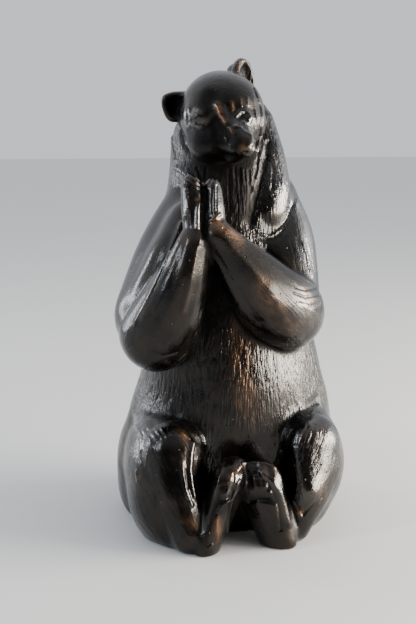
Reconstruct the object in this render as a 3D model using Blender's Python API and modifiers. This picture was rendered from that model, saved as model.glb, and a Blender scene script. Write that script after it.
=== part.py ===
"""Seated bear, paws together under its chin: one cast figure, cut flat underneath.

The bear faces -Y and its left side is +X. Every place and radius is laid out on a figure
of 300 parts, so one part is a 300th of the figure's height, and PART turns them into metres.
"""

import math

import bmesh
import bpy
import numpy as np
from mathutils import Euler, Matrix, Vector
from mathutils.bvhtree import BVHTree

FIGURE_HEIGHT = 0.300
PARTS_HIGH = 300
PART = FIGURE_HEIGHT / PARTS_HIGH

MASS_VOXEL = 2.4
MASS_ROUNDS = 20
FIGURE_VOXEL = 1.3
FIGURE_ROUNDS = 4
TRIANGLES = 9800

BRONZE_COLOR = (0.045, 0.033, 0.024, 1)
BRONZE_ROUGHNESS = 0.3
BRONZE_METALLIC = 0.85

# x, y of the centre line, z, half width, reach forwards, reach back
TORSO_RINGS = (
    (0, 6, -14, 58, 46, 46),
    (-1, 6, 4, 71, 55, 56),
    (1, 8, 24, 76, 58, 60),
    (2, 8, 46, 71, 60, 60),
    (2, 8, 70, 68, 61, 57),
    (3, 8, 98, 60, 60, 52),
    (0, 6, 130, 55, 54, 47),
    (-2, 4, 165, 49, 46, 42),
    (-1, 4, 200, 42, 38, 37),
    (-1, 6, 230, 37, 36, 32),
    (-2, 8, 247, 35, 28, 27),
    (-1, 9, 260, 32, 22, 21),
    (0, 9, 272, 24, 16, 16),
    (-2, 8, 283, 13, 10, 10),
)

HEAD_CENTRE = (-6, -12, 265)
HEAD_TURN = (10.5, -26.9, -6.1)

# lines on the front elevation as x, z rows, each with its half width and how deep it is cut
CREASES = (
    (((-54, 76), (-46, 77), (-39, 77), (-31, 72), (-23, 62), (-19, 50)), 3, 1.6),
    (((55, 82), (44, 77), (34, 70), (29, 60), (25, 48)), 3, 1.6),
    (((21, 238), (16, 227), (12, 212), (8, 199)), 2.5, 1.5),
    (((10, 196), (18, 189), (27, 190), (33, 196), (39, 206)), 2.5, 1.8),
)
MOUTH_AND_SOCKETS = (
    (((-11, 243), (-5, 240), (1, 240), (7, 243)), 2, 1.2),
    (((-15, 260), (-13, 263)), 3.5, 1.5),
    (((-4, 264), (-3, 269)), 4, 1.2),
)
FINGERS = (
    (((-29, 204), (-29, 222)), 1.6, 1.0),
    (((-13, 204), (-14, 227)), 1.6, 1.0),
)
TOES_AND_SOLES = (
    (((-13, 44), (-5, 41)), 1.8, 1.2),
    (((-9, 52), (-1, 48)), 1.8, 1.2),
    (((5, 41), (2, 52)), 1.8, 1.2),
    (((10, 42), (8.5, 54)), 1.8, 1.2),
    (((15.5, 41), (16, 53)), 1.8, 1.2),
    (((4, 31), (9, 34), (17, 33)), 2, 1.2),
)
STROKES = CREASES + MOUTH_AND_SOCKETS + FINGERS + TOES_AND_SOLES


def remove_everything():
    for obj in list(bpy.data.objects):
        bpy.data.objects.remove(obj, do_unlink=True)


def place(x, y, z):
    return Vector((x, y, z)) * PART


def add_object(name, mesh, collection):
    obj = bpy.data.objects.new(name, mesh)
    collection.objects.link(obj)
    return obj


def smooth_through(values, count):
    """Even stations along a Catmull-Rom spline through rows of values."""
    rows = np.asarray(values, float)
    padded = np.vstack([2 * rows[0] - rows[1], rows, 2 * rows[-1] - rows[-2]])
    at = np.linspace(0, len(rows) - 1, count)
    low = np.minimum(at.astype(int), len(rows) - 2)
    t = (at - low)[:, None]
    a, b, c, d = (padded[low + k] for k in range(4))
    return 0.5 * (2 * b + (c - a) * t + (2 * a - 5 * b + 4 * c - d) * t**2 + (3 * b - a - 3 * c + d) * t**3)


def loft_mesh(name, rings, around=48, along=70):
    """Egg-shaped rings stacked along a bent centre line."""
    rows = smooth_through(rings, along)
    turn = np.linspace(0, 2 * math.pi, around, endpoint=False)
    side, depth = np.cos(turn), np.sin(turn)
    mesh = bmesh.new()
    loops = []
    for x, y, z, half_width, forward, back in rows:
        reach = np.where(depth < 0, forward, back)
        ring = zip(x + half_width * side, y + reach * depth)
        loops.append([mesh.verts.new(place(across, along_y, z)) for across, along_y in ring])
    for lower, upper in zip(loops, loops[1:]):
        for k in range(around):
            n = (k + 1) % around
            mesh.faces.new((lower[k], lower[n], upper[n], upper[k]))
    mesh.faces.new(loops[0][::-1])
    mesh.faces.new(loops[-1])
    data = bpy.data.meshes.new(name)
    mesh.to_mesh(data)
    mesh.free()
    return data


def ellipsoid_mesh(name, centre, radii, turn=(0, 0, 0), within=Matrix.Identity(4), taper=0):
    """An ellipsoid, narrower across its y toward the top by the taper, wider toward the foot."""
    angles = Euler([math.radians(a) for a in turn])
    stretch = Matrix.Diagonal((*(r * PART for r in radii), 1))
    matrix = within @ Matrix.Translation(place(*centre)) @ angles.to_matrix().to_4x4() @ stretch
    mesh = bmesh.new()
    bmesh.ops.create_uvsphere(mesh, u_segments=32, v_segments=20, radius=1)
    for vertex in mesh.verts:
        vertex.co.y *= 1 - taper * vertex.co.z
    bmesh.ops.transform(mesh, matrix=matrix, verts=mesh.verts)
    data = bpy.data.meshes.new(name)
    mesh.to_mesh(data)
    mesh.free()
    return data


def limb_mesh(name, stations, within=Matrix.Identity(4)):
    """A round limb through stations of x, y, z, radius, with round ends."""
    rows = smooth_through(stations, 8 * len(stations))
    curve = bpy.data.curves.new(name, "CURVE")
    curve.dimensions = "3D"
    curve.bevel_depth = PART
    curve.bevel_resolution = 6
    curve.use_fill_caps = True
    spline = curve.splines.new("POLY")
    spline.points.add(len(rows) - 1)
    for point, (x, y, z, radius) in zip(spline.points, rows):
        point.co = (*place(x, y, z), 1)
        point.radius = radius
    guide = bpy.data.objects.new(name, curve)
    bpy.context.scene.collection.objects.link(guide)
    bpy.context.view_layer.update()
    data = bpy.data.meshes.new_from_object(guide.evaluated_get(bpy.context.evaluated_depsgraph_get()))
    bpy.data.objects.remove(guide)
    mesh = bmesh.new()
    mesh.from_mesh(data)
    bmesh.ops.remove_doubles(mesh, verts=mesh.verts, dist=0.00001)
    for x, y, z, radius in (rows[0], rows[-1]):
        ball = Matrix.Translation(place(x, y, z))
        bmesh.ops.create_uvsphere(mesh, u_segments=24, v_segments=16, radius=radius * PART, matrix=ball)
    bmesh.ops.transform(mesh, matrix=within, verts=mesh.verts)
    mesh.to_mesh(data)
    mesh.free()
    return data


def evaluated_mesh(obj):
    bpy.context.view_layer.update()
    result = bpy.data.meshes.new_from_object(obj.evaluated_get(bpy.context.evaluated_depsgraph_get()))
    bpy.data.objects.remove(obj)
    return result


def hollowed(body, hollow, collection):
    """The body mesh with the hollow mesh scooped out of it."""
    obj = add_object("hollowed", body, collection)
    cutter = add_object("hollow", hollow, collection)
    scoop = obj.modifiers.new("Scoop", "BOOLEAN")
    scoop.operation = "DIFFERENCE"
    scoop.solver = "EXACT"
    scoop.object = cutter
    result = evaluated_mesh(obj)
    bpy.data.objects.remove(cutter)
    return result


def fused(name, meshes, voxel, rounds, collection):
    """Joins overlapping meshes into one skin and softens the creases between them."""
    whole = bmesh.new()
    for data in meshes:
        whole.from_mesh(data)
    joined = bpy.data.meshes.new(name)
    whole.to_mesh(joined)
    whole.free()
    obj = add_object(name, joined, collection)
    skin = obj.modifiers.new("Skin", "REMESH")
    skin.mode = "VOXEL"
    skin.voxel_size = voxel * PART
    soften = obj.modifiers.new("Soften", "SMOOTH")
    soften.factor = 0.5
    soften.iterations = rounds
    return evaluated_mesh(obj)


def frame_between(start, end, facing):
    """Origin midway, Z from start to end, X the way the flat side looks."""
    long = (Vector(end) - Vector(start)).normalized()
    wide = long.cross(Vector(facing)).normalized()
    turn = Matrix((wide.cross(long), wide, long)).transposed().to_4x4()
    return Matrix.Translation(place(*(Vector(start) + Vector(end)) / 2)) @ turn


def body_mass(collection):
    """Torso, haunches, thighs and upper arms, which flow into each other."""
    pieces = [loft_mesh("torso", TORSO_RINGS)]
    for side in (-1, 1):
        pieces.append(ellipsoid_mesh("haunch", (side * 37.5 - 1, 4, 32), (37, 54, 50)))
        pieces.append(ellipsoid_mesh("thigh", (side * 46.5 + 0.5, -26, 42), (26, 44, 36)))
    pieces.append(ellipsoid_mesh("right_calf", (-45, -42, 26), (25, 34, 34)))
    pieces.append(ellipsoid_mesh("left_calf", (42, -34, 28), (23, 32, 32)))
    pieces.append(limb_mesh("right_shin_side", [(-50, -42, 50, 18), (-48, -52, 30, 18), (-40, -62, 10, 14)]))
    pieces.append(limb_mesh("right_upper_arm", [(-19, 0, 208, 22), (-35, -18, 178, 26), (-50, -31, 140, 27)]))
    pieces.append(limb_mesh("right_sleeve", [(-28, -34, 200, 15), (-38, -42, 178, 18), (-48, -42, 154, 20)]))
    pieces.append(limb_mesh("left_upper_arm", [(24, 4, 207, 23), (30, -5, 182, 26), (31, -22, 147, 26)]))
    return fused("body_mass", pieces, MASS_VOXEL, MASS_ROUNDS, collection)


def foot(name, heel, toes, facing):
    """A thick sole, broad at the toes, standing on its heel."""
    length = (Vector(toes) - Vector(heel)).length
    frame = frame_between(heel, toes, facing) @ Matrix.Diagonal((0.66, 1, 1, 1))
    stations = [(0, 0, 10 - length / 2, 13), (0, 0, 0, 15), (0, 0, length / 2 - 16, 17)]
    return limb_mesh(name, stations, within=frame)


def legs():
    return [
        limb_mesh("right_shin", [(-41, -52, 57, 20), (-39, -62, 34, 17), (-32, -72, 10, 13)]),
        limb_mesh("left_shin", [(47, -46, 58, 20), (45, -56, 34, 16), (34, -64, 10, 11)]),
        foot("right_foot", (-25, -77, -5), (-2, -64, 56), (0.85, -0.25, 0)),
        foot("left_foot", (26, -72, -5), (6, -64, 54), (-0.55, -0.85, 0)),
    ]


def paw(name, wrist, tips, facing, thickness):
    frame = frame_between(wrist, tips, facing)
    length = (Vector(tips) - Vector(wrist)).length
    stations = [(0, 0, 9 - length / 2, 9), (0, 0, 0, 10.5), (0, 0, length / 2 - 8.5, 8.5)]
    return limb_mesh(name, stations, within=frame @ Matrix.Diagonal((thickness / 10.5, 1, 1, 1)))


def arms():
    right_stations = [(-50, -43, 131, 24), (-43, -55, 148, 21.5), (-35, -64, 169, 16), (-29, -68, 190, 10.5)]
    left_stations = [(33, -38, 142, 24), (24, -48, 149, 24), (9, -59, 165, 20), (-15, -69, 195, 10)]
    return [
        limb_mesh("right_forearm", right_stations),
        limb_mesh("left_forearm", left_stations),
        paw("right_paw", (-26.5, -68, 182), (-30.5, -57, 231), (0.95, 0.1, 0), 7.5),
        paw("left_paw", (-15, -68, 188), (-17, -58, 229), (-0.95, 0.1, 0), 6.5),
    ]


def ruff():
    """The thick fold of the mane down the left of the throat."""
    return [limb_mesh("ruff", [(18, 3, 258, 12), (21, -1, 240, 14.5), (22, -10, 217, 17), (21, -16, 204, 15)])]


def ear(name, root, tip, facing, breadth, taper, collection):
    """A thick rounded ear with its front scooped out."""
    length = (Vector(tip) - Vector(root)).length
    frame = frame_between(root, tip, facing)
    outside = (5.5, breadth, length / 2)
    inside = (6, breadth - 2.8, length / 2 - 3)
    body = ellipsoid_mesh(name, (0, 0, 0), outside, within=frame, taper=taper)
    hollow = ellipsoid_mesh(name + "_hollow", (5, 0, -0.5), inside, within=frame, taper=taper)
    return hollowed(body, hollow, collection)


def head(collection):
    turn = Euler([math.radians(a) for a in HEAD_TURN]).to_matrix().to_4x4()
    frame = Matrix.Translation(place(*HEAD_CENTRE)) @ turn
    return [
        ellipsoid_mesh("skull", (0, 0, 0), (27, 28, 27), within=frame),
        ellipsoid_mesh("right_jowl", (-10, -11, -8), (18.5, 18.5, 16), within=frame),
        ellipsoid_mesh("left_cheek", (10, -9, -8), (14, 16, 15), within=frame),
        limb_mesh("muzzle", [(-1, -10, -7, 17), (0.5, -24, -11.5, 12.5), (2.5, -33.5, -15.5, 8.8)], within=frame),
        limb_mesh("nose_bridge", [(0, -17, 15, 5), (0.5, -24, 5, 5.5), (2.5, -32, -11, 6)], within=frame),
        ellipsoid_mesh("nose", (3.5, -38.5, -16.5), (6, 4.2, 4.5), within=frame),
        ellipsoid_mesh("chin", (-2, -26, -21.5), (9, 8.5, 4.5), within=frame),
        ellipsoid_mesh("right_eye", (-15, -20, 9), (5, 4, 4), within=frame),
        ellipsoid_mesh("left_eye", (10.5, -23.5, -5.5), (5, 4, 4), within=frame),
        ear("right_ear", (-27, 0, 265.5), (-43.5, -3, 276), (-0.15, -1, 0.1), 10.5, 0.45, collection),
        ear("left_ear", (10, 3, 272), (8.5, 5, 300.5), (0.8, -0.6, 0), 12.5, 0, collection),
        ellipsoid_mesh("left_ear_back", (4.5, 8, 288), (6, 6, 9)),
    ]


def front_points(tree, stroke):
    """Where a line drawn on the front elevation lands on the skin, at even steps."""
    found = []
    for x, z in smooth_through(stroke, 24):
        hit = tree.ray_cast(Vector((x * PART, -1, z * PART)), Vector((0, 1, 0)))[0]
        if hit is not None:
            found.append(hit)
    return np.array(found)


def carved(skin, strokes):
    """Sinks the skin along strokes of (x, z) rows, half width and depth."""
    mesh = bmesh.new()
    mesh.from_mesh(skin)
    tree = BVHTree.FromBMesh(mesh)
    spots = np.array([v.co for v in mesh.verts])
    normals = np.array([v.normal for v in mesh.verts])
    moved = np.zeros(len(spots))
    for stroke, width, depth in strokes:
        path = front_points(tree, stroke)
        nearest = np.full(len(spots), np.inf)
        for point in path:
            nearest = np.minimum(nearest, ((spots - point) ** 2).sum(axis=1))
        moved -= depth * PART * np.exp(-nearest / (width * PART) ** 2)
    spots += normals * moved[:, None]
    for vertex, spot in zip(mesh.verts, spots):
        vertex.co = spot
    mesh.to_mesh(skin)
    mesh.free()
    return skin


def ground_mesh():
    """A block whose top is the level the figure is cut at."""
    mesh = bmesh.new()
    bmesh.ops.create_cube(mesh, size=FIGURE_HEIGHT, matrix=Matrix.Translation((0, 0, -FIGURE_HEIGHT / 2)))
    data = bpy.data.meshes.new("ground")
    mesh.to_mesh(data)
    mesh.free()
    return data


def trimmed(skin, figure, cutters):
    """Thinned to the triangle budget, cut level underneath and set on the origin at full height."""
    obj = add_object("trimmed", skin, figure)
    ground = add_object("ground", ground_mesh(), cutters)
    ground.hide_render = True
    ground.display_type = "WIRE"
    thin = obj.modifiers.new("Thin", "DECIMATE")
    thin.ratio = TRIANGLES / (2 * len(skin.vertices))
    level = obj.modifiers.new("Level", "BOOLEAN")
    level.operation = "DIFFERENCE"
    level.solver = "EXACT"
    level.object = ground
    result = evaluated_mesh(obj)
    bpy.data.objects.remove(ground)
    spots = np.array([v.co for v in result.vertices])
    middle = (spots.min(axis=0) + spots.max(axis=0)) / 2
    grown = FIGURE_HEIGHT / spots[:, 2].max()
    result.transform(Matrix.Scale(grown, 4) @ Matrix.Translation((-middle[0], -middle[1], 0)))
    return result


def bronze():
    material = bpy.data.materials.new("dark_bronze")
    material.use_nodes = True
    shader = material.node_tree.nodes["Principled BSDF"]
    shader.inputs["Base Color"].default_value = BRONZE_COLOR
    shader.inputs["Roughness"].default_value = BRONZE_ROUGHNESS
    shader.inputs["Metallic"].default_value = BRONZE_METALLIC
    return material


def main():
    remove_everything()
    figure = bpy.data.collections.new("bear_statue")
    cutters = bpy.data.collections.new("cutters")
    bpy.context.scene.collection.children.link(figure)
    bpy.context.scene.collection.children.link(cutters)
    mass = body_mass(figure)
    details = [*legs(), *arms(), *ruff(), *head(figure)]
    skin = fused("figure", [mass, *details], FIGURE_VOXEL, FIGURE_ROUNDS, figure)
    bear = add_object("bear", trimmed(carved(skin, STROKES), figure, cutters), figure)
    bear.data.materials.append(bronze())
    bear.data.shade_smooth()


main()
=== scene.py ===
import math

import bmesh
import bpy
import numpy as np
from mathutils import Matrix, Vector
from mathutils.bvhtree import BVHTree


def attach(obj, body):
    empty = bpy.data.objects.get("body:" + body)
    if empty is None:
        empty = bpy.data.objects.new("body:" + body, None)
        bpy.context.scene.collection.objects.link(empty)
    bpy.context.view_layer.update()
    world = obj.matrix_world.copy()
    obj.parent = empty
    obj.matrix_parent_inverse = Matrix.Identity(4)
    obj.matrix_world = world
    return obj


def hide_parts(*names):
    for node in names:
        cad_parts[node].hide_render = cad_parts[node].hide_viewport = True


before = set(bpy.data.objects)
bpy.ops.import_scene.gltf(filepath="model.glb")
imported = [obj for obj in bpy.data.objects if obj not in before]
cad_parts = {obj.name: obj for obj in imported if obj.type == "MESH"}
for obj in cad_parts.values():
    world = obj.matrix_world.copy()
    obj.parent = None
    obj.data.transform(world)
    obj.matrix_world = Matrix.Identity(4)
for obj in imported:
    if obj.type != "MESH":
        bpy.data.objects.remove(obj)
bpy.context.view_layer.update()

mm = 0.001      # every length below is in millimetres

# the photograph's view: a long lens, a little to the bear's right and above its middle
view = {
    "azimuth": -6.0,
    "elevation": 11.0,
    "focal": 1150.0,                  # pixels
    "distance": 759.0,                # from the aim point
    "aim": (-13.65, 9.55, 135.5),
    "frame": (416, 624),              # pixels
    "sensor": 36.0,                   # over the frame's longer side
    "nearest": 50.0,                  # closer things aren't drawn
}


def viewAxes():
    # right, up and back of a level camera turned by its azimuth and raised by its elevation
    turn, lift = math.radians(view["azimuth"]), math.radians(view["elevation"])
    back = np.array([math.sin(turn) * math.cos(lift), -math.cos(turn) * math.cos(lift), math.sin(lift)])
    right = np.cross([0, 0, 1], back)
    right /= np.linalg.norm(right)
    return right, np.cross(back, right), back


def viewPoint():
    # the camera's place: the aim point plus the distance along back
    return np.array(view["aim"]) + viewAxes()[2] * view["distance"]


def makeCamera():
    # the lens is the focal length in pixels as a share of the frame's height, times the sensor
    data = bpy.data.cameras.new("photoCamera")
    data.sensor_width = view["sensor"]
    data.lens = view["focal"] / view["frame"][1] * view["sensor"]
    data.clip_start = view["nearest"] * mm
    camera = bpy.data.objects.new("photoCamera", data)
    turned = Matrix(viewAxes()).transposed().to_4x4()
    camera.matrix_world = Matrix.Translation(Vector(viewPoint() * mm)) @ turned
    bpy.context.scene.collection.objects.link(camera)
    bpy.context.scene.camera = camera


def copyOfSolid(nodeName):
    # the node's loose triangles, with corners closer than the merge gap made one, as a closed skin
    work = bmesh.new()
    work.from_mesh(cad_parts[nodeName].data)
    bmesh.ops.remove_doubles(work, verts=work.verts, dist=casting["mergeGap"] * mm)
    bmesh.ops.recalc_face_normals(work, faces=work.faces)
    mesh = bpy.data.meshes.new(nodeName + "Skin")
    work.to_mesh(mesh)
    work.free()
    return mesh


def throughModifiers(mesh, steps):
    # runs a mesh through modifiers, each given as its type and its settings
    worker = bpy.data.objects.new("worker", mesh)
    bpy.context.scene.collection.objects.link(worker)
    for kind, settings in steps:
        step = worker.modifiers.new(kind, kind)
        for name, value in settings.items():
            setattr(step, name, value)
    bpy.context.view_layer.update()
    finished = worker.evaluated_get(bpy.context.evaluated_depsgraph_get())
    result = bpy.data.meshes.new_from_object(finished)
    bpy.data.objects.remove(worker)
    return result


def readPoints(mesh):
    # the mesh's points in millimetres, a row each
    spots = np.empty(len(mesh.vertices) * 3)
    mesh.vertices.foreach_get("co", spots)
    return spots.reshape(-1, 3) / mm


def readNormals(mesh):
    # the unit normal at each point
    normals = np.empty(len(mesh.vertices) * 3)
    mesh.vertex_normals.foreach_get("vector", normals)
    return normals.reshape(-1, 3)


def writePoints(mesh, spots):
    # points in millimetres, put back into the mesh in metres
    mesh.vertices.foreach_set("co", (spots * mm).ravel())
    mesh.update()


def writeValue(mesh, name, values):
    # a number for each point, kept on the mesh under the name that the material reads
    layer = mesh.attributes.new(name, "FLOAT", "POINT")
    layer.data.foreach_set("value", values.astype(np.float32))


def smoothNoise(spots, seed):
    # random values on a unit lattice, blended between its corners by smooth steps, -1 to 1
    chance = np.random.default_rng(seed)
    order = chance.permutation(256)
    heights = chance.uniform(-1, 1, 256)
    cell = np.floor(spots).astype(int)
    part = spots - cell
    part = part * part * (3 - 2 * part)
    total = np.zeros(len(spots))
    for corner in range(8):
        step = np.array([corner & 1, corner >> 1 & 1, corner >> 2])
        near = (cell + step) & 255
        pick = order[(order[(order[near[:, 0]] + near[:, 1]) & 255] + near[:, 2]) & 255]
        total += heights[pick] * np.prod(np.where(step, part, 1 - part), axis=1)
    return total


# the casting's zones: a limb is an axis with a radius at each point, and its fur lies along "along";
# "fur" is how deep the modelled strokes are, from 0 for plain metal to 1 for the belly
zones = {
    "torso": {"along": (0.0, 0.0, 1.0), "fur": 1.0},
    "rightHaunch": {"axis": [(-36, 42, 34, 38), (-40, 0, 34, 37)],
                    "along": (0.2, -0.2, 1.0), "fur": 0.25},
    "leftHaunch": {"axis": [(36, 42, 34, 38), (38, 0, 34, 37)],
                   "along": (-0.2, -0.2, 1.0), "fur": 0.25},
    "rightUpperArm": {"axis": [(-20, 10, 208, 22), (-35, -8, 178, 26), (-49, -21, 140, 27)],
                      "along": (0.35, 0.2, 1.0), "fur": 0.12},
    "leftUpperArm": {"axis": [(21, 14, 207, 23), (27, 4, 178, 25), (31, -12, 147, 26)],
                     "along": (-0.1, 0.3, 1.0), "fur": 0.6},
    "rightForearm": {"axis": [(-51, -33, 131, 24), (-44, -45, 148, 21), (-36, -54, 169, 16),
                              (-30, -58, 190, 10)],
                     "along": (0.3, -0.35, 0.9), "fur": 0.22},
    "leftForearm": {"axis": [(34, -28, 142, 24), (23, -38, 149, 24), (8, -49, 165, 20),
                             (-16, -59, 195, 10)],
                    "along": (-0.62, -0.35, 0.6), "fur": 0.35},
    "rightThigh": {"axis": [(-50, -2, 46, 34), (-45, -34, 44, 26), (-40, -54, 30, 16),
                            (-33, -62, 10, 13)],
                   "along": (0.42, -0.35, -0.85), "fur": 0.45},
    "leftThigh": {"axis": [(52, 2, 46, 34), (46, -30, 44, 24), (44, -46, 34, 16), (36, -54, 10, 12)],
                  "along": (-0.42, -0.35, -0.85), "fur": 0.45},
    "rightFoot": {"axis": [(-26, -67, 0, 13), (-3, -54, 56, 15)], "along": (0.4, 0.2, 0.9), "fur": 0.25},
    "leftFoot": {"axis": [(28, -60, 0, 13), (12, -52, 54, 15)], "along": (-0.3, 0.2, 0.9), "fur": 0.2},
    "head": {"axis": [(-7, -2, 267, 27), (-9, -14, 256, 25), (-2, -30, 250, 14)],
             "along": (0.9, 0.3, -0.25), "fur": 0.22},
    "paws": {"axis": [(-24, -58, 186, 12), (-24, -48, 226, 12)], "along": (0.0, 0.0, 1.0), "fur": 0.3},
}
torsoRings = np.array([          # height, centre x and y, half width, half depth
    (0, 0, 15, 66, 50), (24, 1, 18, 75, 59), (70, 2, 18, 69, 59), (98, 2, 18, 61, 56),
    (130, -1, 16, 55, 50), (165, -3, 14, 49, 44), (200, -2, 14, 42, 38), (230, -2, 16, 37, 34),
    (260, 0, 19, 30, 22), (290, -1, 18, 12, 12),
])


def overLimb(spots, axis):
    # how far each point stands over a limb's skin: distance to the axis less the radius there
    axis = np.array(axis, float)
    over = np.full(len(spots), 1e3)
    for start, end in zip(axis[:-1], axis[1:]):
        run = end[:3] - start[:3]
        share = np.clip((spots - start[:3]) @ run / (run @ run), 0, 1)
        radius = start[3] + share * (end[3] - start[3])
        over = np.minimum(over, np.linalg.norm(spots - start[:3] - share[:, None] * run, axis=1) - radius)
    return over


def overTorso(spots):
    # the same for the trunk: distance from the ellipse at that height, as a share of its half depth
    ring = [np.interp(spots[:, 2], torsoRings[:, 0], torsoRings[:, i]) for i in range(1, 5)]
    reach = np.hypot((spots[:, 0] - ring[0]) / ring[2], (spots[:, 1] - ring[1]) / ring[3])
    return (reach - 1) * ring[3]


def zoneWeights(spots):
    # each point's share of every zone: e to the minus how much farther that zone's skin is than
    # the nearest, over the blend length, and all shares brought to a sum of one
    over = {name: overLimb(spots, zone["axis"]) if "axis" in zone else overTorso(spots)
            for name, zone in zones.items()}
    nearest = np.min(list(over.values()), axis=0)
    share = {name: np.exp(-(value - nearest) / casting["zoneBlend"]) for name, value in over.items()}
    total = sum(share.values())
    return {name: value / total for name, value in share.items()}


# modelling marks, drawn over the photograph's pixels and cast on to the skin:
# (kind, path, half width, height). A ridge or groove has a rounded section, a lip falls
# sharply on the right of its path, and a height below zero presses the metal in
faceMarks = [
    # brow and the ridge of the nose
    ("ridge", [(217, 104), (219, 110), (220, 116)], 1.7, 0.7),
    ("ridge", [(223, 119), (225, 122)], 1.4, 0.6),
    ("ridge", [(231, 129), (234, 134)], 1.4, 0.6),
    ("ridge", [(231, 103), (232, 109)], 1.5, 0.6),
    ("ridge", [(226, 106), (228, 112), (231, 120)], 1.6, -0.4),
    # right eye, with the fur standing about it
    ("ridge", [(196, 118)], 6.0, 0.9),
    ("ridge", [(190, 119.5)], 2.2, -0.7),
    ("ridge", [(190.5, 119.5)], 1.3, 0.9),
    ("ridge", [(187, 115), (187, 119)], 4.5, 1.8),
    ("ridge", [(201, 117), (202, 120)], 4.2, 1.6),
    ("ridge", [(194.5, 110), (195, 114)], 0.8, 0.6),
    ("ridge", [(199, 111), (198, 116)], 0.8, 0.6),
    ("ridge", [(190, 108), (191, 113)], 0.8, 0.5),
    ("ridge", [(195.5, 118), (195.5, 122)], 0.8, 0.6),
    ("ridge", [(199, 122), (205, 125)], 0.9, 0.7),
    ("ridge", [(187, 124), (189.5, 125), (192, 123)], 0.7, 0.6),
    ("ridge", [(198, 126), (202, 127)], 0.8, 0.6),
    ("ridge", [(178, 107), (179, 111)], 0.9, 0.5),
    # left eye, under its arched lid
    ("ridge", [(247, 117)], 2.0, 0.5),
    ("ridge", [(243.8, 122.5)], 1.3, 0.8),
    ("ridge", [(236, 116), (239.5, 112), (245, 110.5), (249, 114), (251, 118)], 1.3, 0.8),
    ("ridge", [(249, 122)], 1.3, 0.6),
    ("ridge", [(235, 126.5), (240.5, 127)], 1.1, 0.7),
    ("ridge", [(241, 129), (246, 132.5), (250, 134.5)], 1.1, 0.8),
    ("ridge", [(252, 133), (252, 137)], 1.3, 0.6),
    ("ridge", [(255, 111), (257, 120)], 0.8, 0.4),
    ("ridge", [(254, 124), (255, 131)], 0.8, 0.4),
    ("ridge", [(240, 98), (241, 106)], 0.7, 0.25),
    ("ridge", [(247, 97), (248, 105)], 0.7, 0.25),
    ("ridge", [(253, 100), (255, 108)], 0.7, 0.25),
    # muzzle, nose and mouth
    ("ridge", [(213, 130), (216, 141), (217, 150)], 4.2, 1.0),
    ("ridge", [(225.5, 137), (227.5, 141)], 0.9, 0.8),
    ("ridge", [(230, 144), (231, 147)], 0.8, 0.7),
    ("ridge", [(235, 151), (239, 154)], 0.9, 0.5),
    ("ridge", [(250, 149)], 1.1, 0.5),
    ("ridge", [(245.5, 152.5)], 0.9, -0.9),
    ("ridge", [(252, 147)], 0.7, -0.7),
    ("ridge", [(240, 157), (246, 158), (251, 155)], 0.8, -0.6),
    ("ridge", [(244, 155.5), (246, 154.5)], 0.7, 0.5),
    ("ridge", [(198, 132), (208, 133)], 0.8, -0.2),
    ("ridge", [(199, 137), (208, 138)], 0.8, -0.2),
    ("ridge", [(214, 137), (223, 137)], 0.8, -0.2),
    ("ridge", [(185, 143), (196, 151)], 1.0, 0.25),
    ("ridge", [(181, 131), (184, 143), (190, 151)], 1.8, -0.8),
    ("ridge", [(254, 88), (260, 105), (262, 119), (260, 134), (254, 148)], 1.3, -1.0),
    ("ridge", [(262, 133), (258, 144), (253, 152)], 0.9, 0.35),
    # ears
    ("ridge", [(235, 72), (236, 65), (240, 60), (246, 61), (251, 70), (253, 84)], 0.9, 0.5),
    ("ridge", [(244, 67), (246, 78)], 2.6, -1.5),
    ("ridge", [(232, 66), (230, 72)], 1.0, 0.4),
]
ruffMarks = [
    ("ridge", [(268, 143), (266, 160), (262, 178), (256, 200), (251, 224)], 2.0, -1.3),
    ("ridge", [(259, 152), (257, 172), (251, 192)], 1.0, -0.9),
    ("ridge", [(260, 160), (259, 170), (257, 178)], 0.8, 0.6),
    ("ridge", [(242, 170), (243, 184)], 0.8, 0.6),
    ("ridge", [(246, 172), (247, 180)], 0.7, 0.5),
    ("ridge", [(253, 181), (254, 190)], 0.9, 0.6),
    ("ridge", [(232, 173), (233, 177)], 0.8, 0.5),
    ("ridge", [(237, 204), (235, 212)], 0.8, 0.5),
    ("ridge", [(229, 170), (229, 190), (230, 212)], 0.8, -0.4),
    ("ridge", [(235, 168), (236, 190), (238, 212)], 0.8, -0.4),
    ("ridge", [(240, 168), (240, 190), (242, 214)], 0.8, -0.4),
    ("ridge", [(249, 170), (250, 190), (249, 216)], 0.8, -0.4),
    ("lip", [(296, 202), (292, 212), (286, 223), (279, 230), (270, 236), (260, 233), (251, 224)], 1.1, 0.9),
    ("ridge", [(274, 168), (272, 190)], 1.0, -0.6),
    ("ridge", [(173, 128), (172, 143), (175, 158)], 1.2, 0.8),
    ("ridge", [(176, 168), (181, 171), (186, 175)], 1.6, 1.0),
    ("ridge", [(182, 178), (187, 182)], 0.9, 0.7),
    ("ridge", [(184, 185), (190, 187)], 0.8, 0.7),
    ("ridge", [(186, 191), (190, 194)], 0.8, 0.6),
    ("ridge", [(189, 170), (200, 182)], 0.9, -0.7),
    ("ridge", [(197, 168), (202, 181)], 0.9, -0.7),
    ("ridge", [(188, 178), (199, 186)], 0.9, -0.7),
    ("ridge", [(190, 187), (200, 190)], 0.9, -0.7),
    ("ridge", [(206, 168), (205, 180)], 0.9, -0.7),
    ("ridge", [(216, 172), (209, 184)], 0.9, -0.7),
]
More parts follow.
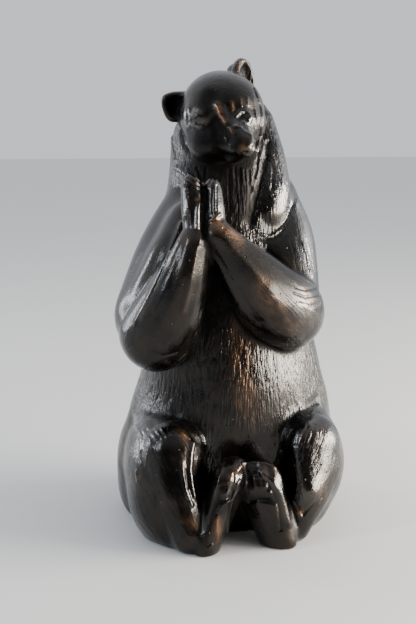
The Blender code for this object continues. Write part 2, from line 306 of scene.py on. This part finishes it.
armMarks = [
    ("lip", [(137, 322), (147, 302), (157, 282), (166, 262), (172, 248), (178, 234)], 1.1, 1.1),
    ("ridge", [(188, 202), (188, 209)], 1.3, 0.9),
    ("ridge", [(185, 215), (183, 221)], 1.0, 0.8),
    ("ridge", [(181, 223), (179, 228)], 1.3, 0.9),
    ("ridge", [(199, 203), (197, 212), (197, 228)], 1.1, 0.8),
    ("ridge", [(200, 233), (199, 243)], 1.2, 0.8),
    ("ridge", [(196, 248), (192, 270), (189, 290), (183, 312)], 2.0, 0.8),
    ("ridge", [(183, 240), (178, 262), (170, 290), (158, 318)], 2.6, -0.6),
    ("ridge", [(201, 312), (197, 332), (187, 352), (173, 366)], 1.2, -0.8),
    ("ridge", [(150, 350), (163, 356), (178, 352)], 1.1, -0.4),
    ("ridge", [(210, 245), (226, 270), (243, 298), (258, 322)], 3.6, -0.8),
    ("ridge", [(222, 240), (245, 262), (268, 290), (283, 318)], 3.5, 0.6),
    ("ridge", [(243, 236), (266, 250), (290, 268)], 1.5, -0.6),
    ("ridge", [(296, 287), (305, 290), (317, 288)], 0.8, -0.6),
    ("ridge", [(294, 293), (306, 297), (320, 295)], 0.8, -0.6),
    ("ridge", [(300, 303), (311, 306), (320, 303)], 0.8, -0.4),
    ("ridge", [(303, 244), (309, 262), (312, 276)], 1.5, 0.6),
    ("ridge", [(204, 188), (204, 204), (203, 222), (205, 236)], 1.6, -1.5),
    ("ridge", [(204, 184)], 1.0, 0.8),
    ("ridge", [(208, 188)], 0.8, 0.5),
    ("ridge", [(203, 191)], 0.8, 0.6),
    ("ridge", [(204, 203)], 0.8, 0.6),
    ("ridge", [(196, 200)], 1.0, 0.7),
    ("ridge", [(213, 188), (212, 200), (212, 214)], 0.6, -0.5),
    ("ridge", [(217, 186), (217, 200), (217, 212)], 0.6, -0.5),
    ("ridge", [(209, 221), (214, 218), (221, 214)], 0.9, 0.7),
]
legMarks = [
    ("ridge", [(183, 434)], 2.2, 0.6),
    ("ridge", [(193, 443), (191, 455), (190, 470), (192, 484), (195, 497)], 1.6, 0.9),
    ("ridge", [(182, 463), (183, 476), (186, 490), (192, 506)], 1.3, 0.9),
    ("ridge", [(186, 470), (188, 488)], 0.8, -0.7),
    ("ridge", [(172, 440), (170, 460), (174, 486)], 4.0, -0.8),
    ("ridge", [(134, 413), (138, 419)], 2.0, 0.7),
    ("ridge", [(136, 425), (141, 436), (141, 450)], 1.6, 0.6),
    ("ridge", [(143, 430), (150, 440), (152, 448)], 1.1, 0.6),
    ("ridge", [(148, 428), (157, 440)], 0.9, 0.6),
    ("ridge", [(154, 427), (161, 437)], 0.8, 0.5),
    ("ridge", [(161, 428), (167, 438)], 0.8, 0.5),
    ("ridge", [(140, 452), (141, 464)], 1.0, 0.5),
    ("ridge", [(147, 455), (146, 466)], 0.8, 0.4),
    ("ridge", [(137, 472), (138, 481)], 1.3, 0.6),
    ("ridge", [(201, 535), (204, 534)], 0.9, 0.5),
    ("ridge", [(208, 549), (212, 545)], 1.0, 0.5),
    ("ridge", [(302, 428), (297, 446)], 0.9, -0.5),
    ("ridge", [(308, 428), (303, 446), (302, 460)], 0.9, -0.5),
    ("ridge", [(315, 426), (309, 444)], 0.9, -0.4),
    ("ridge", [(322, 497), (310, 507), (302, 515)], 1.3, -0.6),
    ("ridge", [(305, 432), (300, 446), (301, 470), (307, 490)], 7.0, 3.0),
    ("lip", [(318, 405), (310, 414), (300, 420), (290, 430), (285, 440), (280, 452), (277, 461)], 1.0, 0.6),
]
footMarks = [
    ("ridge", [(244, 463), (254, 462), (264, 463), (275, 468)], 1.0, 0.7),
    ("ridge", [(262, 473), (272, 481), (281, 494), (286, 510), (289, 524)], 1.9, 0.9),
    ("ridge", [(250, 470), (258, 470)], 0.9, 0.5),
    ("ridge", [(292, 502), (297, 509), (301, 516)], 1.1, 0.6),
    ("ridge", [(249, 478), (259, 476), (268, 482), (274, 493), (279, 508), (281, 530)], 1.2, -0.6),
    ("ridge", [(250, 502), (259, 499), (269, 499), (275, 503)], 1.0, -0.6),
    ("ridge", [(251, 491)], 1.9, 0.5),
    ("ridge", [(257, 486)], 1.8, 0.5),
    ("ridge", [(264, 487)], 1.8, 0.5),
    ("ridge", [(269, 493)], 1.7, 0.5),
    ("ridge", [(262, 508), (266, 520), (270, 532)], 4.4, 0.5),
    ("ridge", [(241, 466), (237, 471)], 1.4, 0.9),
    ("ridge", [(231, 477), (230, 481)], 1.2, 0.8),
    ("ridge", [(228, 488), (226, 494)], 2.0, 0.9),
    ("ridge", [(220, 476), (218, 484)], 1.2, 0.7),
    ("ridge", [(229, 501), (222, 505), (218, 512)], 1.1, 0.8),
    ("ridge", [(234, 474), (233, 486), (228, 498)], 0.8, -0.6),
    ("lip", [(238, 482), (231, 500), (228, 518), (227, 536)], 1.1, 0.7),
    ("ridge", [(217, 516), (216, 528), (218, 540)], 1.2, 0.5),
]
# where handling has rubbed the patina through to copper: path, half width, share; a share below
# zero takes away what the form alone would give
rubbed = [
    ([(240, 325), (242, 370), (245, 410)], 7, 0.25), ([(217, 223), (230, 230), (240, 238)], 3.5, 0.8),
    ([(262, 285), (282, 318), (296, 330)], 6, 0.18), ([(305, 290)], 6, 0.5),
    ([(183, 433), (185, 439)], 2.6, 0.7), ([(217, 104), (219, 110), (220, 116)], 1.7, 0.9),
    ([(223, 120), (225, 122)], 1.3, 0.8), ([(232, 130), (234, 133)], 1.4, 0.7),
    ([(231, 103), (232, 108)], 1.3, 0.6), ([(242, 147)], 2.2, 0.4), ([(184, 112), (206, 119)], 6, -0.3),
    ([(240, 112), (254, 122)], 5, -0.2), ([(241, 467), (230, 480)], 2, 0.5),
    ([(217, 520), (219, 538)], 2.6, 0.35), ([(186, 520), (192, 526)], 3, 0.3), ([(204, 184)], 1.3, 0.8),
    ([(196, 200)], 1.3, 0.7), ([(293, 503), (300, 514)], 2.0, 0.3), ([(318, 480), (324, 494)], 4, 0.15),
    ([(137, 478)], 3, 0.4),
]
# painted shade: patches where the colour goes to the dark dirt colour, the coat thins and the surface
# dulls, standing for shade; a share below zero lightens
paintedShade = [
    ([(205, 160), (222, 163), (240, 162)], 6, 1.0), ([(185, 168), (194, 172), (204, 176)], 7, 0.9),
    ([(193, 185), (193, 200)], 4, 0.6), ([(205, 190), (204, 220), (206, 245)], 3, 0.9),
    ([(208, 270), (206, 300), (204, 330)], 4, 0.6), ([(160, 108), (170, 100)], 7, 0.8),
    ([(245, 68), (248, 80)], 3, 0.9), ([(236, 505), (240, 528)], 7, 0.8),
    ([(190, 136), (205, 137), (217, 134)], 7, 1.1), ([(204, 104), (208, 94)], 6, 1.0),
    ([(222, 134), (227, 138), (234, 143)], 5, 1.1), ([(256, 98), (260, 116), (257, 138)], 5, 0.35),
    ([(228, 172), (232, 190), (236, 210)], 8, 0.8), ([(246, 165), (248, 190), (245, 212)], 8, 0.75),
    ([(128, 425), (121, 460), (124, 490), (130, 515)], 12, 0.5),
    ([(245, 248), (262, 260), (283, 271), (300, 280)], 9, 0.7),
    ([(212, 450), (240, 446), (268, 448)], 9, -0.9), ([(222, 325), (224, 365), (226, 405)], 9, 0.4),
    ([(256, 264), (275, 278), (298, 292)], 9, 0.5),
]
# where the lacquer lies thick and gives white lights
lacquered = [
    ([(186, 112), (187, 118), (187, 124)], 2.5, 1.0), ([(200, 113), (202, 119), (200, 124)], 2.5, 1.0),
    ([(188, 124), (200, 127)], 1.5, 0.8), ([(195, 110), (196, 120)], 2, 0.8),
    ([(239, 112), (246, 111), (250, 118)], 2, 0.8), ([(244, 122), (250, 122)], 2, 0.9),
    ([(235, 126), (246, 132), (252, 135)], 1.6, 0.9), ([(226, 139)], 0.9, 1.0), ([(231, 146)], 0.9, 1.0),
    ([(250, 149)], 1.2, 0.9),
    ([(188, 205), (184, 218), (180, 226), (172, 248), (157, 282), (140, 318)], 1.8, 0.9),
    ([(197, 208), (197, 228)], 1.5, 0.8), ([(178, 170), (186, 174)], 2.5, 0.8),
    ([(214, 190), (215, 213)], 4, 0.5), ([(272, 160), (284, 200), (290, 222)], 9, 0.5),
    ([(299, 212), (303, 235), (307, 258)], 9, 0.8), ([(270, 352), (282, 375), (285, 400)], 11, 0.35),
    ([(305, 290), (300, 325)], 8, 0.4), ([(206, 440), (209, 465), (213, 490)], 4, 0.7),
    ([(192, 448), (190, 505)], 3, 0.7), ([(308, 430), (311, 455), (308, 488)], 12, 0.9),
    ([(136, 415), (142, 436), (141, 455)], 5, 0.8), ([(262, 473), (281, 494), (288, 520)], 2.5, 0.6),
    ([(241, 466), (228, 492)], 2.5, 0.6), ([(278, 461), (290, 430), (316, 407)], 1.5, 0.8),
]


def castPath(skinTree, path):
    # a path of pixels at every half pixel, each sent from the camera to where it meets the skin
    path = np.array(path, float)
    if len(path) > 1:
        run = np.concatenate([[0], np.cumsum(np.linalg.norm(np.diff(path, axis=0), axis=1))])
        along = np.arange(0, run[-1], 0.5)
        path = np.column_stack([np.interp(along, run, path[:, 0]), np.interp(along, run, path[:, 1])])
    right, up, back = viewAxes()
    start = viewPoint()
    hits, normals = [], []
    for u, v in path:
        ray = right * (u - view["frame"][0] / 2) - up * (v - view["frame"][1] / 2) - back * view["focal"]
        spot, normal, _, _ = skinTree.ray_cast(Vector(start), Vector(ray).normalized())
        if spot is not None:
            hits.append(spot)
            normals.append(normal)
    return np.array(hits), np.array(normals)


def nearMark(spots, normals, hits, hitNormals, reach):
    # the points within reach of a cast path and facing its way, with the distance to the nearest
    # hit and its number
    low, high = hits.min(axis=0) - reach, hits.max(axis=0) + reach
    chosen = np.flatnonzero(np.all((spots > low) & (spots < high), axis=1))
    gap = np.full(len(chosen), np.inf)
    nearest = np.zeros(len(chosen), int)
    for i, hit in enumerate(hits):
        square = np.sum((spots[chosen] - hit) ** 2, axis=1)
        closer = square < gap
        gap[closer], nearest[closer] = square[closer], i
    gap = np.sqrt(gap)
    facing = np.sum(normals[chosen] * hitNormals[nearest], axis=1)
    kept = (gap < reach) & (facing > casting["leastFacing"])
    return chosen[kept], gap[kept], nearest[kept]


def markHeights(spots, normals, skinTree, marks):
    # the sum of every mark's height times e to the minus square of distance over half width; a
    # lip's half width is small on the right of its path and wide on the left
    total = np.zeros(len(spots))
    back = viewAxes()[2]
    for kind, path, width, height in marks:
        hits, hitNormals = castPath(skinTree, path)
        if not len(hits):
            continue
        chosen, gap, nearest = nearMark(spots, normals, hits, hitNormals, width * casting["markReach"])
        width = np.full(len(chosen), float(width))
        if kind == "lip":
            ahead = np.gradient(hits, axis=0)
            side = np.cross(ahead, back)
            onRight = np.sum((spots[chosen] - hits[nearest]) * side[nearest], axis=1) > 0
            width = np.where(onRight, width * casting["lipSteep"], width * casting["lipSoft"])
        total[chosen] += height * np.exp(-(gap / width) ** 2)
    return total


casting = {
    "mergeGap": 0.02,
    "voxel": 0.6,             # how fine the skin is worked before it is thinned
    "softRounds": 12,
    "zoneBlend": 1.6,         # over which one limb's fur passes into the next
    "leastFacing": 0.1,       # cosine to a mark's own normal, so that no mark reaches a far side
    "markReach": 6,           # half widths
    "lipSteep": 0.5,
    "lipSoft": 2.5,
    "groundFade": 3.0,        # marks die out over this height from the ground
    "lockPitch": 3.8,         # fur locks that stand in the mesh
    "lockLength": 26.0,
    "lockHeight": 0.09,
    "lockGroove": 2.4,        # depth of the groove between locks, in lock heights
    "lockFold": 0.22,         # its width, as a share of the noise
    "handPitch": 16.0,        # the slow unevenness of a hand-modelled wax
    "handHeight": 0.35,
    "standRounds": 45,        # how wide the skin is evened to find what stands or lies low
    "wearFrom": 0.2,          # height at which copper starts to show, and over which it grows
    "wearOver": 1.2,
    "wearShare": 0.12,
    "dirtOver": 0.8,          # depth at which a hollow is full of dirt
    "patchReach": 2.5,        # half widths
    "triangles": 190000,
}


def frameAlong(direction):
    # three unit vectors square to each other, the last along the given direction
    along = np.array(direction) / np.linalg.norm(direction)
    across = np.cross([0.0, 1.0, 0.0], along)
    across /= np.linalg.norm(across)
    return np.array([across, np.cross(along, across), along])


def furLocks(spots, weights):
    # noise stretched along each zone's fur, plus half as much at twice the fineness; a bell about
    # its zero crossings makes narrow grooves that part rounded locks
    total = np.zeros(len(spots))
    size = np.array([casting["lockPitch"], casting["lockPitch"], casting["lockLength"]])
    for seed, (name, zone) in enumerate(zones.items()):
        lay = (spots @ frameAlong(zone["along"]).T) / size
        wave = smoothNoise(lay, seed + 10) + 0.5 * smoothNoise(lay * 2.1, seed + 40)
        groove = casting["lockGroove"] * np.exp(-(wave / casting["lockFold"]) ** 2)
        total += weights[name] * zone["fur"] * (1 - groove)
    return total * casting["lockHeight"]


def neighbourMean(spots, edges):
    # the mean of the points at the other ends of each point's edges
    total = np.zeros_like(spots)
    count = np.zeros(len(spots))
    for here, there in ((0, 1), (1, 0)):
        for axis in range(3):
            total[:, axis] += np.bincount(edges[:, here], spots[edges[:, there], axis], len(spots))
        count += np.bincount(edges[:, here], minlength=len(spots))
    return total / count[:, None]


def convexity(mesh, rounds):
    # how far a point stands along its normal over the skin after so many rounds of neighbour
    # means, below zero in a hollow
    edges = np.empty(len(mesh.edges) * 2, int)
    mesh.edges.foreach_get("vertices", edges)
    edges = edges.reshape(-1, 2)
    spots = readPoints(mesh)
    soft = spots
    for _ in range(rounds):
        soft = neighbourMean(soft, edges)
    return np.sum((spots - soft) * readNormals(mesh), axis=1)


print("scene starts")
makeCamera()
skin = throughModifiers(copyOfSolid("bear"), [
    ("SUBSURF", {"levels": 2, "render_levels": 2}),
    ("REMESH", {"mode": "VOXEL", "voxel_size": casting["voxel"] * mm}),
    ("SMOOTH", {"factor": 0.5, "iterations": casting["softRounds"]}),
])
print("skin", len(skin.vertices), "points")

spots, normals = readPoints(skin), readNormals(skin)
skin.calc_loop_triangles()
triangles = np.empty(len(skin.loop_triangles) * 3, int)
skin.loop_triangles.foreach_get("vertices", triangles)
skinTree = BVHTree.FromPolygons(spots.tolist(), triangles.reshape(-1, 3).tolist(), all_triangles=True)
weights = zoneWeights(spots)
allMarks = faceMarks + ruffMarks + armMarks + legMarks + footMarks
height = markHeights(spots, normals, skinTree, allMarks)
height += furLocks(spots, weights)
height += casting["handHeight"] * smoothNoise(spots / casting["handPitch"], 3)
height *= np.clip(spots[:, 2] / casting["groundFade"], 0, 1)
writePoints(skin, spots + normals * height[:, None])
print("sculpted")

stand = convexity(skin, casting["standRounds"])
wear = np.clip((stand - casting["wearFrom"]) / casting["wearOver"], 0, 1) * casting["wearShare"]
# darker where the skin lies low: dirt in the hollows; the painted shade patches are added to this below
hollow = np.clip(-stand / casting["dirtOver"], 0, 1)
gloss = np.zeros(len(spots))
# the painted shade patches add to the hollow dirt, so that one value carries both
for value, patches in ((wear, rubbed), (hollow, paintedShade), (gloss, lacquered)):
    for path, width, share in patches:
        hits, hitNormals = castPath(skinTree, path)
        chosen, gap, _ = nearMark(spots, normals, hits, hitNormals, width * casting["patchReach"])
        value[chosen] += share * np.exp(-(gap / width) ** 2)
for name, value in (("wear", wear), ("hollow", hollow), ("gloss", gloss)):
    writeValue(skin, name, np.clip(value, 0, 1))
for name, zone in zones.items():
    writeValue(skin, "fur_" + name, weights[name] * zone["fur"])

thinning = casting["triangles"] / len(skin.loop_triangles)
thinned = throughModifiers(skin, [("DECIMATE", {"ratio": thinning})])
bear = bpy.data.objects.new("bearCasting", thinned)
bpy.context.scene.collection.objects.link(bear)
bear.data.shade_smooth()
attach(bear, "root")
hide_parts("bear")
print("casting", len(bear.data.polygons), "triangles")


def linear(hexColour):
    # an sRGB hex colour as linear RGBA: a low share is divided by 12.92, a higher one gets 0.055
    # added, is divided by 1.055 and raised to the power 2.4
    raw = np.array([int(hexColour[i:i + 2], 16) for i in (1, 3, 5)]) / 255
    line = np.where(raw <= 0.04045, raw / 12.92, ((raw + 0.055) / 1.055) ** 2.4)
    return (*line.tolist(), 1.0)


def addNode(tree, kind, settings=None, inputs=None):
    # one node with its settings, and its inputs as values or links
    node = tree.nodes.new(kind)
    for name, value in (settings or {}).items():
        setattr(node, name, value)
    for name, value in (inputs or {}).items():
        socket = node.inputs[name]
        if isinstance(value, bpy.types.NodeSocket):
            tree.links.new(value, socket)
        else:
            socket.default_value = value
    return node


# lost-wax bronze, patinated near black with brown showing through, waxed and lacquered:
# the lacquer gives sharp white lights on soft brown ones, and rubbed high places show copper
bronze = {
    "patina": "#151311",
    "brown": "#27211B",
    "copper": "#8A6547",
    # dark colour of dirt in hollows and grooves, also painted on as shade by the shade patches
    "dirtAndShade": "#0D0B0A",
    "metallic": 0.9,
    "strokePitch": 1.1,       # fur strokes scored in the wax, about 2 mm from ridge to ridge
    "strokeLength": 9.0,
    "strokeDepth": 0.55,
    "grainPitch": 1.1,        # the skin of the casting
    "grainDepth": 0.10,
    "pitSpacing": 7.0,        # pinholes of the casting
    "pitRadius": 0.45,
    "pitDepth": 0.4,
    "patchSize": 14.0,        # cloudy changes of colour and polish
    "smoothest": 0.2,         # roughness from cloud to cloud
    "roughest": 0.36,
    "dirtDulls": 0.3,         # added to the roughness in a full hollow
    "coat": 0.32,
    "coatRoughness": 0.08,
}


def patinatedBronze():
    # patina mixed to brown by cloudy noise, to copper by wear times clouds times stroke crests,
    # then to the dark dirt colour by the deeper of groove and hollow, the hollow value holding both
    # dirt in hollows and painted shade; the coat goes from its own weight to none as it grows, plus gloss
    material = bpy.data.materials.new("patinatedBronze")
    material.use_nodes = True
    tree = material.node_tree
    tree.nodes.clear()
    place = addNode(tree, "ShaderNodeTexCoord").outputs["Object"]

    # the fur strokes: the sum over the zones of noise less a half, stretched along the zone's fur,
    # times the zone's share
    strokes = 0.0
    size = (bronze["strokePitch"] * mm, bronze["strokePitch"] * mm, bronze["strokeLength"] * mm)
    for name, zone in zones.items():
        turned = Matrix(frameAlong(zone["along"]).tolist()).transposed().to_euler()
        lay = addNode(tree, "ShaderNodeMapping", {"vector_type": "TEXTURE"},
                      {"Vector": place, "Rotation": turned, "Scale": size})
        noise = addNode(tree, "ShaderNodeTexNoise", None,
                        {"Vector": lay.outputs[0], "Scale": 1.0, "Detail": 1.5, "Roughness": 0.6})
        share = addNode(tree, "ShaderNodeAttribute", {"attribute_name": "fur_" + name}).outputs["Fac"]
        wave = addNode(tree, "ShaderNodeMath", {"operation": "SUBTRACT"}, {
            0: noise.outputs["Fac"], 1: 0.5})
        strokes = addNode(tree, "ShaderNodeMath", {"operation": "MULTIPLY_ADD"},
                          {0: wave.outputs[0], 1: share, 2: strokes}).outputs[0]

    grain = addNode(tree, "ShaderNodeTexNoise", None, {
        "Vector": place, "Scale": 1 / (bronze["grainPitch"] * mm), "Detail": 2.0}).outputs["Fac"]
    cells = addNode(tree, "ShaderNodeTexVoronoi", None, {
        "Vector": place, "Scale": 1 / (bronze["pitSpacing"] * mm)}).outputs["Distance"]
    pitRim = bronze["pitRadius"] / bronze["pitSpacing"] * 1.6
    pit = addNode(tree, "ShaderNodeMapRange", {"interpolation_type": "SMOOTHSTEP"}, {
        "Value": cells, "From Min": 0.03, "From Max": pitRim, "To Min": 0.0, "To Max": 1.0}).outputs[0]

    strokeBump = addNode(tree, "ShaderNodeBump", None, {
        "Height": strokes, "Distance": bronze["strokeDepth"] * mm, "Strength": 1.0})
    grainBump = addNode(tree, "ShaderNodeBump", None, {
        "Height": grain, "Distance": bronze["grainDepth"] * mm, "Strength": 1.0,
        "Normal": strokeBump.outputs[0]})
    pitBump = addNode(tree, "ShaderNodeBump", None, {
        "Height": pit, "Distance": bronze["pitDepth"] * mm, "Strength": 1.0,
        "Normal": grainBump.outputs[0]})

    patches = addNode(tree, "ShaderNodeTexNoise", None, {
        "Vector": place, "Scale": 1 / (bronze["patchSize"] * mm), "Detail": 4.0}).outputs["Fac"]
    wear = addNode(tree, "ShaderNodeAttribute", {"attribute_name": "wear"}).outputs["Fac"]
    # dirt in hollows together with painted shade
    hollow = addNode(tree, "ShaderNodeAttribute", {"attribute_name": "hollow"}).outputs["Fac"]
    blotch = addNode(tree, "ShaderNodeMapRange", None, {
        "Value": patches, "From Min": 0.35, "From Max": 0.65, "To Min": 0.25, "To Max": 1.2}).outputs[0]
    crest = addNode(tree, "ShaderNodeMapRange", None, {
        "Value": strokes, "From Min": -0.06, "From Max": 0.08, "To Min": 0.3, "To Max": 1.5}).outputs[0]
    crested = addNode(tree, "ShaderNodeMath", {"operation": "MULTIPLY"}, {0: blotch, 1: crest}).outputs[0]
    broken = addNode(tree, "ShaderNodeMath", {"operation": "MULTIPLY"}, {0: wear, 1: crested}).outputs[0]
    groove = addNode(tree, "ShaderNodeMapRange", None, {
        "Value": strokes, "From Min": -0.02, "From Max": -0.12, "To Min": 0.0, "To Max": 0.6}).outputs[0]
    # the dark colour's share: dirt in stroke grooves and hollows, plus painted shade
    dirtAndShade = addNode(tree, "ShaderNodeMath", {"operation": "MAXIMUM"}, {0: groove, 1: hollow}).outputs[0]
    brownness = addNode(tree, "ShaderNodeMapRange", None, {
        "Value": patches, "From Min": 0.4, "From Max": 0.7, "To Min": 0.0, "To Max": 0.8}).outputs[0]
    base = addNode(tree, "ShaderNodeMix", {"data_type": "RGBA"}, {
        "Factor": brownness, 6: linear(bronze["patina"]), 7: linear(bronze["brown"])}).outputs[2]
    worn = addNode(tree, "ShaderNodeMix", {"data_type": "RGBA", "clamp_factor": True}, {
        "Factor": broken, 6: base, 7: linear(bronze["copper"])}).outputs[2]
    colour = addNode(tree, "ShaderNodeMix", {"data_type": "RGBA"}, {
        "Factor": dirtAndShade, 6: worn, 7: linear(bronze["dirtAndShade"])}).outputs[2]
    rough = addNode(tree, "ShaderNodeMapRange", None, {
        "Value": patches, "From Min": 0.3, "From Max": 0.7,
        "To Min": bronze["smoothest"], "To Max": bronze["roughest"]}).outputs[0]
    dull = addNode(tree, "ShaderNodeMath", {"operation": "MULTIPLY_ADD"}, {
        0: hollow, 1: bronze["dirtDulls"], 2: rough}).outputs[0]
    thin = addNode(tree, "ShaderNodeMapRange", None, {
        "Value": hollow, "From Min": 0.1, "From Max": 0.8,
        "To Min": bronze["coat"], "To Max": 0.0}).outputs[0]
    gloss = addNode(tree, "ShaderNodeAttribute", {"attribute_name": "gloss"}).outputs["Fac"]
    coat = addNode(tree, "ShaderNodeMath", {"operation": "ADD", "use_clamp": True}, {
        0: thin, 1: gloss}).outputs[0]
    shader = addNode(tree, "ShaderNodeBsdfPrincipled", None, {
        "Base Color": colour, "Metallic": bronze["metallic"], "Roughness": dull,
        "Normal": pitBump.outputs[0], "Coat Weight": coat,
        "Coat Roughness": bronze["coatRoughness"], "Coat Normal": pitBump.outputs[0]})
    addNode(tree, "ShaderNodeOutputMaterial", None, {"Surface": shader.outputs[0]})
    return material


bear.data.materials.clear()
bear.data.materials.append(patinatedBronze())
print("bronze made")

# the studio, its lengths in metres: a plain pale floor, a soft room and four soft boxes
studio = {
    "floorColour": "#BCBCBA",
    "floorRoughness": 0.7,
    "floorHalf": 4.0,
    "middle": 0.15,           # the height that the lights face
    "roomColour": "#E9EDF4",
    "roomLight": {"front": 0.06, "behind": 0.9, "right": 5.0, "left": 0.6, "above": 0.95},
    "key": {"place": (1.1, -0.2, 0.28), "size": (0.8, 0.46), "watts": 68, "colour": "#FFF6EA"},
    "low": {"place": (0.84, -0.68, 0.12), "size": (0.32, 0.22), "watts": 10, "colour": "#FFF8EE"},
    "cool": {"place": (-1.0, -0.45, 0.6), "size": (0.14, 0.5), "watts": 6, "colour": "#E4F0FF"},
    "rim": {"place": (-0.98, 0.56, 0.34), "size": (0.16, 0.5), "watts": 6, "colour": "#F2F6FF"},
}


def makeFloor():
    # one flat square, wide enough for every view
    half = studio["floorHalf"]
    mesh = bpy.data.meshes.new("floor")
    corners = [(-half, -half, 0), (half, -half, 0), (half, half, 0), (-half, half, 0)]
    mesh.from_pydata(corners, [], [(0, 1, 2, 3)])
    floor = bpy.data.objects.new("floor", mesh)
    bpy.context.scene.collection.objects.link(floor)
    material = bpy.data.materials.new("paleFloor")
    material.use_nodes = True
    shader = material.node_tree.nodes["Principled BSDF"]
    shader.inputs["Base Color"].default_value = linear(studio["floorColour"])
    shader.inputs["Roughness"].default_value = studio["floorRoughness"]
    mesh.materials.append(material)


def makeLight(name):
    # a soft box at its place, turned to face the middle of the bear
    lamp = studio[name]
    data = bpy.data.lights.new(name, "AREA")
    data.shape = "RECTANGLE"
    data.size, data.size_y = lamp["size"]
    data.energy = lamp["watts"]
    data.color = linear(lamp["colour"])[:3]
    light = bpy.data.objects.new(name, data)
    toward = Vector((0, 0, studio["middle"])) - Vector(lamp["place"])
    turned = toward.to_track_quat("-Z", "Y").to_matrix().to_4x4()
    light.matrix_world = Matrix.Translation(lamp["place"]) @ turned
    bpy.context.scene.collection.objects.link(light)


def makeWorld():
    # a pale room: a sum of smooth steps along the axes, dim on the side the bear faces and
    # brightest low down on its left
    world = bpy.data.worlds.new("room")
    bpy.context.scene.world = world
    world.use_nodes = True
    tree = world.node_tree
    tree.nodes.clear()
    way = addNode(tree, "ShaderNodeTexCoord").outputs["Generated"]
    axes = addNode(tree, "ShaderNodeSeparateXYZ", None, {0: way}).outputs
    light = studio["roomLight"]
    low = addNode(tree, "ShaderNodeMapRange", {"interpolation_type": "SMOOTHSTEP"}, {
        "Value": axes[2], "From Min": 0.25, "From Max": 0.6,
        "To Min": light["right"], "To Max": 0.0}).outputs[0]
    total = light["front"]
    for axis, start, end, amount in ((1, -0.6, 0.4, light["behind"]), (0, 0.62, 0.98, low),
                                     (0, -0.3, -0.9, light["left"]), (2, 0.2, 1.0, light["above"])):
        part = addNode(tree, "ShaderNodeMapRange", {"interpolation_type": "SMOOTHSTEP"}, {
            "Value": axes[axis], "From Min": start, "From Max": end,
            "To Min": 0.0, "To Max": amount}).outputs[0]
        total = addNode(tree, "ShaderNodeMath", {"operation": "ADD"}, {0: total, 1: part}).outputs[0]
    sky = addNode(tree, "ShaderNodeBackground", None, {
        "Color": linear(studio["roomColour"]), "Strength": total})
    addNode(tree, "ShaderNodeOutputWorld", None, {"Surface": sky.outputs[0]})


makeFloor()
makeWorld()
for name in ("key", "low", "cool", "rim"):
    makeLight(name)
print("studio lit")
